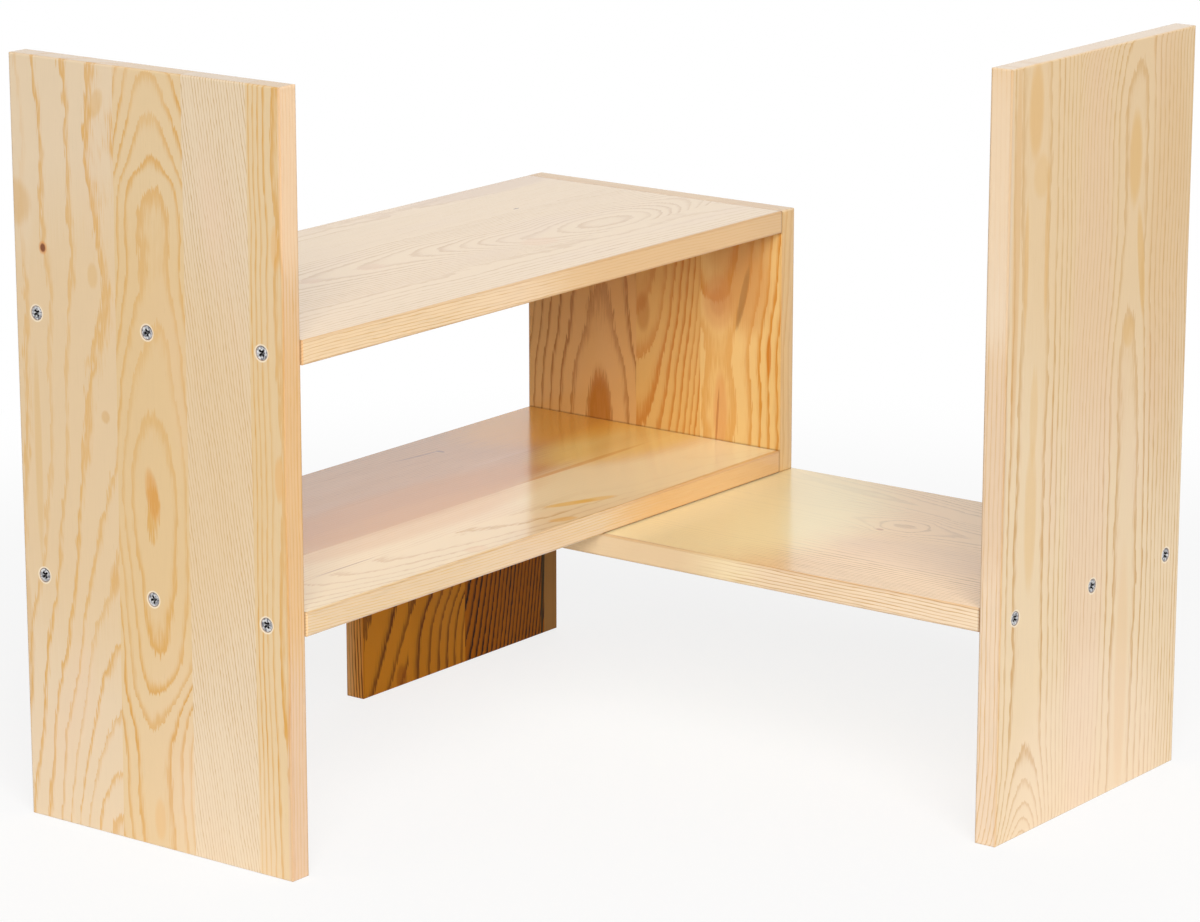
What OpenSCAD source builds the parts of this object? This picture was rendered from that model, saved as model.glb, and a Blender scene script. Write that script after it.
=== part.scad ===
// Desktop bookshelf in two free units of edge-glued pine boards, set at a right angle.
// The lower unit is a tall panel, a shelf and a short leg. The upper unit is a tall panel,
// two shelves and a short end panel, and its lower shelf lies on the lower unit's shelf.
// Every joint is a butt joint: a shelf's end meets a panel's inner face and is held by screws.
// Millimetres, +Z up. The origin is on the desk, below the middle of the two units' outline.
// The lower unit runs along X with its front towards -Y. The upper unit runs along Y with its
// front towards +X, and crosses the lower unit over its leg.

/* [Boards] */
// Thickness of every board
board_t = 12; // [9:0.5:18]
// Depth of every board, from its front edge to its back edge
board_d = 170; // [140:1:220]
// Radius that every long edge is eased to
edge_r = 1; // [0.5:0.1:2]

/* [Lower unit] */
// Overall length, from the leg's outer face to the tall panel's outer face
lower_l = 410; // [330:1:600]
// Height of its tall panel
lower_panel_h = 380; // [300:1:500]
// Height of its leg, whose top is level with the shelf's top
leg_h = 118.5; // [80:0.5:160]

/* [Upper unit] */
// Overall length, from the tall panel's outer face to the end panel's outer face
upper_l = 410; // [330:1:600]
// Height of its tall panel
upper_panel_h = 380; // [300:1:500]
// Clear height between its two shelves
between_shelves = 118.5; // [80:0.5:150]
// How far its tall panel's front edge lies behind its shelves' front edges
panel_set_back = 1.5; // [0:0.1:3]

/* [Standing] */
// How far the leg's outer face stands out beyond the upper unit's back
leg_reach = 3; // [0:0.5:20]
// How far the lower unit's back stands out beyond the end panel's outer face
back_reach = 2; // [0:0.5:20]

/* [Screws] */
// Diameter of a screw's shank over its thread
screw_d = 3.5; // [3:0.1:5]
// Length of a screw, from its head's top to its point
screw_l = 35; // [25:1:45]
// Diameter of a screw's head
head_d = 6.6; // [6:0.1:9]
// Height of the head's rim above its cone
head_rim = 0.15; // [0.1:0.05:0.4]
// Angle across the head's cone
head_angle = 90; // [80:1:100]
// Length of a screw's point
point_l = 5; // [3:0.5:8]
// Diameter of the flat at its tip
point_d = 0.2; // [0.1:0.1:0.5]
// How far a screw's head lies below the face that it is driven into
head_sink = 0.15; // [0.1:0.05:0.6]
// Clearance all round a screw in its hole
screw_gap = 0.05; // [0.02:0.01:0.2]
// How far a screw's hole goes beyond its point
hole_past = 1; // [0.5:0.5:3]
// Distance from a board's long edge to the nearest screw
screw_edge = 13.5; // [10:0.5:25]

/* [Screw heads] */
// Length of each arm pair of the cross recess, at the head's top
recess_l = 4; // [3:0.1:5]
// Length of each arm pair at the bottom of the recess
recess_end_l = 1.6; // [1:0.1:2.5]
// Width of an arm
recess_w = 0.9; // [0.6:0.1:1.2]
// Diameter of the recess's middle at the head's top
recess_core_d = 2.4; // [1.8:0.1:3]
// Depth of the recess
recess_depth = 1.9; // [1:0.1:2.2]

/* [Hidden] */
$fn = 64;
pine = [0.92, 0.79, 0.60];
zinc = [0.66, 0.67, 0.68];
eps = 0.01;

// The outline that both units share on the desk, halved
half_x = lower_l / 2;
half_y = (upper_l + back_reach) / 2;

// Heights
shelf_z = leg_h;
low_shelf_z = shelf_z - board_t;
top_shelf_z = shelf_z + board_t + between_shelves;
end_panel_h = between_shelves + 2 * board_t;

// Where each unit lies
lower_front_y = half_y - board_d;
lower_back_y = half_y;
upper_back_x = -half_x + leg_reach;
upper_front_x = upper_back_x + board_d;
upper_near_y = -half_y;
upper_far_y = upper_near_y + upper_l;
upper_panel_back_x = upper_back_x - panel_set_back;
upper_panel_front_x = upper_front_x - panel_set_back;

// Shelves reach from one panel's inner face to the other's
lower_shelf_l = lower_l - 2 * board_t;
upper_shelf_l = upper_l - 2 * board_t;

// A screw's cone, from its rim to its shank, and the seat that is cut for it
cone_h = (head_d - screw_d) / 2 / tan(head_angle / 2);
seat_h = head_sink + head_rim + cone_h;
hole_l = head_sink + screw_l + hole_past;

// Three screws hold each joint: near the front, in the middle and near the back
ROWS = ["front", "middle", "back"];
row_depth = [screw_edge, board_d / 2, board_d - screw_edge];
ROW_NUMBERS = [0 : len(ROWS) - 1];

// A joint is a list: its name, the point on the panel's outer face at the panel's front edge and
// half way up the shelf's thickness, the way from front to back, the way that its screws are
// driven, and how far the cross recess of each is turned
upper_panel_top = ["upper_panel_top",
    [upper_panel_front_x, upper_near_y, top_shelf_z + board_t / 2],
    [-1, 0, 0], [0, 1, 0], [48, 20, 38]];
upper_panel_low = ["upper_panel_low",
    [upper_panel_front_x, upper_near_y, shelf_z + board_t / 2],
    [-1, 0, 0], [0, 1, 0], [45, 12, 44]];
end_panel_top = ["end_panel_top", [upper_front_x, upper_far_y, top_shelf_z + board_t / 2],
    [-1, 0, 0], [0, -1, 0], [5, 62, 33]];
end_panel_low = ["end_panel_low", [upper_front_x, upper_far_y, shelf_z + board_t / 2],
    [-1, 0, 0], [0, -1, 0], [71, 26, 50]];
lower_panel_joint = ["lower_panel", [half_x, lower_front_y, low_shelf_z + board_t / 2],
    [0, 1, 0], [-1, 0, 0], [42, 15, 30]];
leg_joint = ["leg", [-half_x, lower_front_y, low_shelf_z + board_t / 2],
    [0, 1, 0], [1, 0, 0], [18, 55, 81]];
JOINTS = [upper_panel_top, upper_panel_low, end_panel_top, end_panel_low, lower_panel_joint,
    leg_joint];

BOARDS = ["lower_tall_panel", "lower_shelf", "leg", "upper_tall_panel", "upper_low_shelf",
    "upper_top_shelf", "end_panel"];

function screw_name(joint, row) = str("screw_", joint[0], "_", ROWS[row]);
function screw_place(joint, row) = joint[1] + joint[2] * row_depth[row];
function drive_way(joint) = joint[3];
function recess_turn(joint, row) = joint[4][row];

// A w by h rectangle, centred, with its corners rounded
module eased_outline(w, h) {
    inner = [w - 2 * edge_r, h - 2 * edge_r];
    square([w, inner[1]], center = true);
    square([inner[0], h], center = true);
    for (x = [-1, 1], y = [-1, 1])
        translate([x * inner[0] / 2, y * inner[1] / 2])
            circle(edge_r);
}

// A shelf board along X, centred, with its four long edges eased and its ends square
module shelf_board(length) {
    rotate([90, 0, 90])
        linear_extrude(length, center = true)
            eased_outline(board_d, board_t);
}

// A panel standing on z = 0, its thickness along X and centred across, with every edge eased
module panel_board(height) {
    translate([0, 0, height / 2])
        intersection() {
            linear_extrude(height, center = true)
                eased_outline(board_t, board_d);
            rotate([90, 0, 90])
                linear_extrude(board_t, center = true)
                    eased_outline(board_d, height);
            rotate([90, 0, 0])
                linear_extrude(board_d, center = true)
                    eased_outline(board_t, height);
        }
}

// Turns what points along +Z, below the face at z = 0, to be driven the joint's way
module driven(joint, row) {
    way = drive_way(joint);
    translate(screw_place(joint, row))
        rotate([0, 0, atan2(way[1], way[0])])
            rotate([0, 90, 0])
                rotate([0, 0, recess_turn(joint, row)])
                    children();
}

// The hole for one screw: a round hole to its end, and a cone down to it from the face
module screw_hole() {
    wide = head_d / 2 + (head_sink + head_rim) * tan(head_angle / 2) + screw_gap;
    narrow = screw_d / 2 + screw_gap;
    translate([0, 0, -eps])
        cylinder(h = hole_l + eps, r = narrow);
    cylinder(h = seat_h, r1 = wide, r2 = narrow);
}

// The holes of one joint, for cutting both of the boards that meet there
module joint_holes(joint) {
    for (row = ROW_NUMBERS)
        driven(joint, row)
            screw_hole();
}

// Two crossed tapered slots with a cone at their middle
module cross_recess() {
    for (turn = [0, 90])
        rotate([90, 0, turn])
            linear_extrude(recess_w, center = true)
                polygon([
                    [-recess_l / 2, -eps], [recess_l / 2, -eps],
                    [recess_end_l / 2, recess_depth], [-recess_end_l / 2, recess_depth],
                ]);
    translate([0, 0, -eps])
        cylinder(h = recess_depth + eps, d1 = recess_core_d, d2 = recess_end_l);
}

// A countersunk screw pointing along +Z, its head's top head_sink below z = 0
module screw(joint, row) {
    color(zinc)
        driven(joint, row)
            translate([0, 0, head_sink])
                difference() {
                    union() {
                        cylinder(h = head_rim, d = head_d);
                        translate([0, 0, head_rim])
                            cylinder(h = cone_h, d1 = head_d, d2 = screw_d);
                        cylinder(h = screw_l - point_l, d = screw_d);
                        translate([0, 0, screw_l - point_l])
                            cylinder(h = point_l, d1 = screw_d, d2 = point_d);
                    }
                    cross_recess();
                }
}

module lower_tall_panel() {
    color(pine)
        difference() {
            translate([half_x - board_t / 2, (lower_front_y + lower_back_y) / 2, 0])
                panel_board(lower_panel_h);
            joint_holes(lower_panel_joint);
        }
}

module lower_shelf() {
    color(pine)
        difference() {
            translate([0, (lower_front_y + lower_back_y) / 2, low_shelf_z + board_t / 2])
                shelf_board(lower_shelf_l);
            joint_holes(lower_panel_joint);
            joint_holes(leg_joint);
        }
}

module leg() {
    color(pine)
        difference() {
            translate([board_t / 2 - half_x, (lower_front_y + lower_back_y) / 2, 0])
                panel_board(leg_h);
            joint_holes(leg_joint);
        }
}

module upper_tall_panel() {
    color(pine)
        difference() {
            translate([(upper_panel_back_x + upper_panel_front_x) / 2, upper_near_y + board_t / 2, 0])
                rotate([0, 0, 90])
                    panel_board(upper_panel_h);
            joint_holes(upper_panel_top);
            joint_holes(upper_panel_low);
        }
}

// One of the upper unit's two shelves, whose underside is at height z
module upper_shelf(z, near_joint, far_joint) {
    color(pine)
        difference() {
            translate([(upper_back_x + upper_front_x) / 2, (upper_near_y + upper_far_y) / 2,
                    z + board_t / 2])
                rotate([0, 0, 90])
                    shelf_board(upper_shelf_l);
            joint_holes(near_joint);
            joint_holes(far_joint);
        }
}

module upper_low_shelf() {
    upper_shelf(shelf_z, upper_panel_low, end_panel_low);
}

module upper_top_shelf() {
    upper_shelf(top_shelf_z, upper_panel_top, end_panel_top);
}

module end_panel() {
    color(pine)
        difference() {
            translate([(upper_back_x + upper_front_x) / 2, upper_far_y - board_t / 2, shelf_z])
                rotate([0, 0, 90])
                    panel_board(end_panel_h);
            joint_holes(end_panel_top);
            joint_holes(end_panel_low);
        }
}

lower_tall_panel();
lower_shelf();
leg();
upper_tall_panel();
upper_low_shelf();
upper_top_shelf();
end_panel();
for (joint = JOINTS, row = ROW_NUMBERS)
    screw(joint, row);
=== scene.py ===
"""Desktop bookshelf in two units of lacquered pine: finishes, screws, light and camera.

Each board keeps its CAD solid and gets a pine of its own. A board is glued up from staves, and
each stave is a slice of a tree: its growth rings lie round a heart that runs below the face, so
one formula gives the ovals and arches on the face, the straight lines on the edges and the arcs
on the end grain. Meshes are in metres. Inside the pine formulas, and in the screw's profile,
lengths are in millimetres. Colours are written as they are displayed, as "#rrggbb".
"""

import logging
import math
from dataclasses import dataclass
from enum import Enum
from typing import Any, Optional, Sequence, Union

import bpy
import numpy as np
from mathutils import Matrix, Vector


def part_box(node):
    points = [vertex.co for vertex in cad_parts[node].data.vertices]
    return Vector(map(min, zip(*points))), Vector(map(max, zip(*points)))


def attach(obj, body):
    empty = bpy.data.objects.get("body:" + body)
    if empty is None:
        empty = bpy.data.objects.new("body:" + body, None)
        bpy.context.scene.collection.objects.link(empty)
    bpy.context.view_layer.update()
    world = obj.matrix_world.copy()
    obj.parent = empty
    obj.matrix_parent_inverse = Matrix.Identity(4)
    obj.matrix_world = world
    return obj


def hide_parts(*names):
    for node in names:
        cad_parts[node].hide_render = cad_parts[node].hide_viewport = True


MM = 0.001
TINY = 1e-6
LOG = logging.getLogger("bookshelf")

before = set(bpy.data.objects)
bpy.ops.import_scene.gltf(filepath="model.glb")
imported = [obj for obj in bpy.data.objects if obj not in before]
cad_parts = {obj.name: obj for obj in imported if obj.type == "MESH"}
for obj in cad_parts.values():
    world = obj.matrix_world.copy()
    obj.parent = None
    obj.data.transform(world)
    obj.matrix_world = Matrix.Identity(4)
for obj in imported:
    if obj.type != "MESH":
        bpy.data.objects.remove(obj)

Colour = str
Pairs = tuple[tuple[float, float], ...]
Line = Union[Pairs, tuple[float, float]]
Triple = tuple[float, float, float]

WHITE: Colour = "#ffffff"
BLACK: Colour = "#000000"


class Axis(Enum):
    """A direction of the row frame."""

    X = 0
    Y = 1
    Z = 2


def linear(colour: Colour) -> tuple[float, ...]:
    """Turns a display colour into the linear red, green, blue and opacity that shaders take."""
    shares = [int(colour[at:at + 2], 16) / 255 for at in (1, 3, 5)]
    return (*(c / 12.92 if c <= 0.04045 else ((c + 0.055) / 1.055) ** 2.4 for c in shares), 1.0)


def add_object(name: str, data: Any) -> bpy.types.Object:
    """Puts an object with the given data into the scene."""
    added = bpy.data.objects.new(name, data)
    bpy.context.scene.collection.objects.link(added)
    return added


def add_mesh(name: str, vertices: list[Any], faces: list[Any],
             material: bpy.types.Material) -> bpy.types.Object:
    """Puts a mesh of one material into the scene.

    Args:
        name: the name of the object and its mesh.
        vertices: its points, in metres.
        faces: the numbers of each face's points.
        material: what it is made of.

    Returns:
        The object.
    """
    mesh = bpy.data.meshes.new(name)
    mesh.from_pydata(vertices, [], faces)
    mesh.update()
    mesh.materials.append(material)
    return add_object(name, mesh)


class Field:
    """A number that varies over a surface: a shader node's output, with ordinary arithmetic."""

    def __init__(self, recipe: "Recipe", socket: bpy.types.NodeSocket) -> None:
        """Keeps the recipe that the number belongs to and the socket that gives it."""
        self.recipe = recipe
        self.socket = socket

    def __add__(self, other: "Term") -> "Field":
        """This number plus another."""
        return self.recipe.maths("ADD", self, other)

    __radd__ = __add__

    def __sub__(self, other: "Term") -> "Field":
        """This number less another."""
        return self.recipe.maths("SUBTRACT", self, other)

    def __rsub__(self, other: float) -> "Field":
        """A plain number less this one."""
        return self.recipe.maths("SUBTRACT", other, self)

    def __mul__(self, other: "Term") -> "Field":
        """This number times another."""
        return self.recipe.maths("MULTIPLY", self, other)

    def __truediv__(self, other: "Term") -> "Field":
        """This number over another."""
        return self.recipe.maths("DIVIDE", self, other)

    def size(self) -> "Field":
        """The number without its sign."""
        return self.recipe.maths("ABSOLUTE", self)

    def root(self) -> "Field":
        """The square root."""
        return self.recipe.maths("SQRT", self)

    def part(self) -> "Field":
        """What is left after the whole number below."""
        return self.recipe.maths("FRACT", self)

    def whole(self) -> "Field":
        """The whole number below."""
        return self.recipe.maths("FLOOR", self)

    def over(self, limit: "Term") -> "Field":
        """1 where the number is above the limit, and 0 elsewhere."""
        return self.recipe.maths("GREATER_THAN", self, limit)

    def least(self, other: "Term") -> "Field":
        """The smaller of the two."""
        return self.recipe.maths("MINIMUM", self, other)

    def most(self, other: "Term") -> "Field":
        """The larger of the two."""
        return self.recipe.maths("MAXIMUM", self, other)

    def rise(self, start: float, end: float) -> "Field":
        """Goes smoothly from 0 at start to 1 at end, and back down where end is the smaller.

        Args:
            start: value at which the result is 0.
            end: value at which the result is 1.

        Returns:
            The eased share, kept between 0 and 1.
        """
        inputs = {
            "Value": self, "From Min": min(start, end), "From Max": max(start, end),
            "To Min": float(start >= end), "To Max": float(start < end),
        }
        node = self.recipe.node("ShaderNodeMapRange", inputs, interpolation_type="SMOOTHSTEP")
        return Field(self.recipe, node.outputs["Result"])


Term = Union[Field, float]


class Recipe:
    """Writes shader nodes from formulas, in the node tree of one material or world."""

    open_sky, closed_sky = 0.8, 0.25
    mix_first, mix_second, mix_result = 6, 7, 2

    def __init__(self, owner: Any) -> None:
        """Empties the node tree of a new material or world."""
        owner.use_nodes = True
        self.owner = owner
        self.tree = owner.node_tree
        self.tree.nodes.clear()

    def node(self, kind: str, inputs: Optional[dict[Any, Any]] = None, **settings: Any) -> Any:
        """Adds a node.

        Args:
            kind: the node's type.
            inputs: what its sockets get, by their names or numbers.
            settings: the node's own settings, by name.

        Returns:
            The node.
        """
        node = self.tree.nodes.new(kind)
        for name, value in settings.items():
            setattr(node, name, value)
        for key, value in (inputs or {}).items():
            self.feed(node.inputs[key], value)
        return node

    def feed(self, socket: bpy.types.NodeSocket, value: Any) -> None:
        """Links a field or a socket to an input, or writes a number or a colour there.

        Args:
            socket: the input.
            value: what it gets.
        """
        if isinstance(value, Field):
            value = value.socket
        if isinstance(value, bpy.types.NodeSocket):
            self.tree.links.new(value, socket)
        else:
            socket.default_value = linear(value) if isinstance(value, str) else value

    def end(self, kind: str, surface: bpy.types.NodeSocket) -> Any:
        """Ends the tree in an output node, and gives the finished material or world."""
        self.node(kind, {"Surface": surface})
        return self.owner

    def maths(self, operation: str, *terms: Term) -> Field:
        """The result of a Math node on fields or plain numbers, in the node's order."""
        node = self.node("ShaderNodeMath", dict(enumerate(terms)), operation=operation)
        return Field(self, node.outputs[0])

    def parts(self, name: str) -> list[Field]:
        """The three parts of one of the surface's own coordinates."""
        whole = self.node("ShaderNodeTexCoord").outputs[name]
        split = self.node("ShaderNodeSeparateXYZ", {0: whole})
        return [Field(self, socket) for socket in split.outputs]

    def place(self) -> list[Field]:
        """The point's place in the row frame, in millimetres."""
        return [part * (1 / MM) for part in self.parts("Object")]

    def facing(self, axis: Axis) -> Field:
        """How squarely the surface faces along an axis, from 0 to 1."""
        return self.parts("Normal")[axis.value].size()

    def shown(self) -> Field:
        """1 for rays that show the surroundings: from the camera, in gloss and through glass."""
        rays = self.node("ShaderNodeLightPath").outputs
        seen, gloss, glass = (
            Field(self, rays[f"Is {kind} Ray"]) for kind in ("Camera", "Glossy", "Transmission")
        )
        return seen.most(gloss).most(glass)

    def noise(self, point: Sequence[Term], detail: float = 0.0) -> Field:
        """Smooth noise between about -1 and 1, as the texture keeps within a quarter of 0.5.

        Args:
            point: three coordinates, each already divided by its grain size.
            detail: how many finer layers lie on the first.

        Returns:
            The noise as a field.
        """
        joined = self.node("ShaderNodeCombineXYZ", dict(enumerate(point)))
        inputs = {"Vector": joined.outputs[0], "Scale": 1.0, "Detail": detail}
        return (Field(self, self.node("ShaderNodeTexNoise", inputs).outputs[0]) - 0.5) * 4.0

    def crevice(self, reach: float) -> Field:
        """1 deep in a crevice of the piece itself, narrower than a reach in metres, else 0."""
        settings = {"only_local": True, "samples": 8}
        node = self.node("ShaderNodeAmbientOcclusion", {"Distance": reach}, **settings)
        return Field(self, node.outputs["AO"]).rise(self.open_sky, self.closed_sky)

    def curve(self, x: Field, line: Line, length: float) -> Field:
        """A smooth line through the given points.

        Args:
            x: where the line is read, from 0 to length.
            line: the points, as (x, y), in order of x, or a straight line's y at both ends.
            length: the largest x.

        Returns:
            The line's y as a field.
        """
        pairs = line if isinstance(line[0], tuple) else tuple(zip((0.0, length), line))
        low = min(y for _, y in pairs)
        span = max(max(y for _, y in pairs) - low, TINY)
        places = [(at / length, (y - low) / span) for at, y in pairs]
        node = self.node("ShaderNodeFloatCurve", {"Value": x * (1 / length)})
        points = node.mapping.curves[0].points
        points[0].location, points[1].location = places[0], places[-1]
        for place in places[1:-1]:
            points.new(*place)
        node.mapping.update()
        return Field(self, node.outputs[0]) * span + low

    def ramp(self, x: Field, stops: Pairs) -> Field:
        """A broken line through the given stops.

        Args:
            x: where the line is read, from 0 to 1.
            stops: the points, as (x, height), in order of x from 0 to 1.

        Returns:
            The line's height as a field.
        """
        node = self.node("ShaderNodeValToRGB", {"Fac": x})
        elements = node.color_ramp.elements
        for at, _ in stops[1:-1]:
            elements.new(at)
        for element, (at, height) in zip(elements, stops):
            element.position = at
            element.color = (height, height, height, 1.0)
        return Field(self, node.outputs["Color"])

    def blend(self, share: Term, first: Any, second: Any, mode: str = "MIX") -> Any:
        """Mixes two colours.

        Args:
            share: 0 gives the first colour and 1 the second.
            first: a colour, or the socket of one.
            second: a colour, or the socket of one.
            mode: the node's blend type.

        Returns:
            The socket of the mixed colour.
        """
        inputs = {0: share, self.mix_first: first, self.mix_second: second}
        settings = {"data_type": "RGBA", "blend_type": mode, "clamp_factor": True}
        return self.node("ShaderNodeMix", inputs, **settings).outputs[self.mix_result]

    def mix(self, share: Term, first: Any, second: Any) -> bpy.types.NodeSocket:
        """Mixes two shader nodes: a share of 0 gives the first and 1 the second."""
        inputs = {0: share, 1: first.outputs[0], 2: second.outputs[0]}
        return self.node("ShaderNodeMixShader", inputs).outputs[0]

    def shade(self, colour: Any, **sockets: Any) -> bpy.types.Material:
        """Ends the tree in a Principled shader.

        Args:
            colour: the base colour or its socket.
            sockets: values or fields by socket name, with underscores for spaces.

        Returns:
            The material.
        """
        inputs = {name.replace("_", " "): value for name, value in sockets.items()}
        shader = self.node("ShaderNodeBsdfPrincipled", {"Base Color": colour, **inputs})
        return self.end("ShaderNodeOutputMaterial", shader.outputs[0])

    def relief(self, height: Field, depth: float) -> bpy.types.NodeSocket:
        """The surface direction over a relief that is depth metres high where height is 1."""
        return self.node("ShaderNodeBump", {"Distance": depth, "Height": height}).outputs[0]


@dataclass(frozen=True)
class Tone:
    """The two colours of a stave's year: the pale early wood and the amber late wood."""

    early: Colour
    late: Colour


CREAM = Tone("#e2caa8", "#d8a454")
STRAW = Tone("#e0c396", "#d49a3a")
BLUSH = Tone("#e4ceae", "#caa472")
BUTTER = Tone("#ebd1a9", "#ce9e5a")
LINEN = Tone("#f6d5a5", "#d8aa6a")
MILK = Tone("#ffe9bd", "#e2bc7e")
CHALK = Tone("#fbd7a6", "#cea674")
# The next six tones carry painted light and shade: they give the back of the upper unit's low shelf
# and the inner faces of the end panel and the leg the darker, warmer colours of the shade those
# faces lie in.
SHADED_SAND = Tone("#d2a375", "#ba8a5a")
SHADED_DUSK = Tone("#e0ae6a", "#a8681e")
SHADED_HONEY = Tone("#e4b66c", "#c67a24")
SHADED_GOLD = Tone("#ecc682", "#d49034")
SHADED_TAN = Tone("#ca8520", "#623201")
SHADED_UMBER = Tone("#aa6203", "#281000")
DRAB = Tone("#ac7c42", "#946432")
SAPWOOD = Tone("#e4c8a0", "#cc9a5a")

AMBER: Colour = "#deac54"
DEEP_AMBER: Colour = "#dea84c"
RESIN: Colour = "#e2a03e"


@dataclass(frozen=True)
class Stave:
    """One strip of a board, cut from one tree.

    The ring number at a point is
    crown / (1 + (x / calm)^2) + (sqrt(x*x + (pith + deep)^2) - pith) / ring,
    where x is the distance across from the heart and deep is the depth below the face. A late
    line lies at each whole number.

    Attributes:
        glue: where its far glue line meets the board's start, in mm across.
        crown: ring number over the heart, as (mm along, rings), or at the board's two ends.
        heart: where the heart runs, as (mm along, mm across), or at the board's two ends.
        pith: depth of the pith below the face, mm.
        ring: width of a year, mm.
        slant: how much further across the glue line lies at the board's end, mm.
        tone: its colours.
        late: strength of the late lines.
        bold: share of a year that its late wood takes.
        sway: how far the lines wander, in rings.
        calm: distance from the heart at which the crown has lost half its pull, mm.
    """

    glue: float
    crown: Line
    heart: Line
    pith: float
    ring: float
    slant: float = 0.0
    tone: Tone = CREAM
    late: float = 1.0
    bold: float = 0.38
    sway: float = 0.3
    calm: float = 1000.0


@dataclass(frozen=True)
class Mark:
    """A soft spot of another colour on the face, drawn out along the grain: a figure or stain of
    the wood, and on some boards painted light and shade.

    Attributes:
        across: its middle, mm across.
        along: its middle, mm along.
        wide: half its width, mm.
        tall: half its length, mm.
        colour: its colour.
        strength: how much of that colour shows in the middle.
        lean: mm across for each mm along.
        shallow: whether it fades where the wood turns into sapwood.
    """

    across: float
    along: float
    wide: float
    tall: float
    colour: Colour
    strength: float = 0.8
    lean: float = 0.0
    shallow: bool = False


@dataclass(frozen=True)
class Contact:
    """A place where another board touches this one, as a box in the board's own millimetres; the
    thin dark line round it is painted shade.

    Attributes:
        along: from where to where along the board.
        deep: from where to where below the figured face.
        across: from where to where across the board.
        dark: how dark the line round it is, from 0 to 1.
    """

    along: tuple[float, float]
    deep: tuple[float, float] = (-10.0, 30.0)
    across: tuple[float, float] = (-10.0, 180.0)
    dark: float = 0.4


@dataclass(frozen=True)
class Grain:
    """How the grain lies in a board: three axes of the row frame with a sign each.

    Attributes:
        across: from the first stave to the last.
        along: with the grain.
        deep: from the figured face into the board.
    """

    across: tuple[Axis, int]
    along: tuple[Axis, int]
    deep: tuple[Axis, int]


class Wood:
    """A board's wood as fields: the point's place in it, and the values of the point's stave."""

    stave_shift = 217.0
    fibre_size = (0.32, 24.0, 0.32)
    squarely = (0.6, 0.8)
    sapwood_from, sapwood_full = 0.35, 0.85

    def __init__(self, recipe: Recipe, pine: "Pine", node: str) -> None:
        """Measures the point's place in the board, and picks its stave's values.

        Args:
            recipe: the material's recipe.
            pine: the board's finish.
            node: the board's CAD node.
        """
        self.recipe = recipe
        place = recipe.place()
        low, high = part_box(node)
        grain = (pine.grain.across, pine.grain.along, pine.grain.deep)
        self.across, self.along, self.deep = (
            (place[axis.value] - (low if sign > 0 else high)[axis.value] / MM) * float(sign)
            for axis, sign in grain
        )
        self.width, self.length, self.thick = ((high - low)[axis.value] / MM for axis, _ in grain)
        self.past = [
            self.across.over(self.along * (stave.slant / self.length) + stave.glue)
            for stave in pine.staves[:-1]
        ]
        self.crown, self.heart = (
            self.pick([recipe.curve(self.along, line, self.length) for line in lines])
            for lines in zip(*((stave.crown, stave.heart) for stave in pine.staves))
        )
        self.pith, self.ring, self.late, self.bold, self.sway, self.calm = (
            self.pick([getattr(stave, name) for stave in pine.staves])
            for name in ("pith", "ring", "late", "bold", "sway", "calm")
        )
        self.shift = self.pick([self.stave_shift * number for number in range(len(pine.staves))])
        self.early, self.dark = (
            self.pick_colour([getattr(stave.tone, name) for stave in pine.staves])
            for name in ("early", "late")
        )
        self.fibre = self.noise(self.fibre_size, 1.0)
        self.side = recipe.facing(pine.grain.across[0]).rise(*self.squarely)
        self.end = recipe.facing(pine.grain.along[0]).rise(*self.squarely)
        depths = (self.thick * self.sapwood_from, self.thick * self.sapwood_full)
        self.pale = self.deep.rise(*depths) * pine.sapwood

    def pick(self, values: list[Term]) -> Term:
        """The value of the stave that a point lies in, where each stave has one."""
        chosen = values[0]
        for past, value in zip(self.past, values[1:]):
            chosen = past * (value - chosen) + chosen
        return chosen

    def pick_colour(self, colours: list[Colour]) -> Any:
        """The colour of the stave that a point lies in."""
        chosen: Any = colours[0]
        for past, colour in zip(self.past, colours[1:]):
            chosen = self.recipe.blend(past, chosen, colour)
        return chosen

    def noise(self, size: Triple, detail: float = 0.0, across: Optional[Field] = None) -> Field:
        """Noise in lumps of one size.

        Args:
            size: the lumps' size across, along and deep, in mm.
            detail: how many finer layers lie on the first.
            across: takes the place of the point's own mm across.

        Returns:
            The noise as a field.
        """
        point = (self.across if across is None else across, self.along, self.deep)
        return self.recipe.noise([place / lump for place, lump in zip(point, size)], detail)


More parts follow.
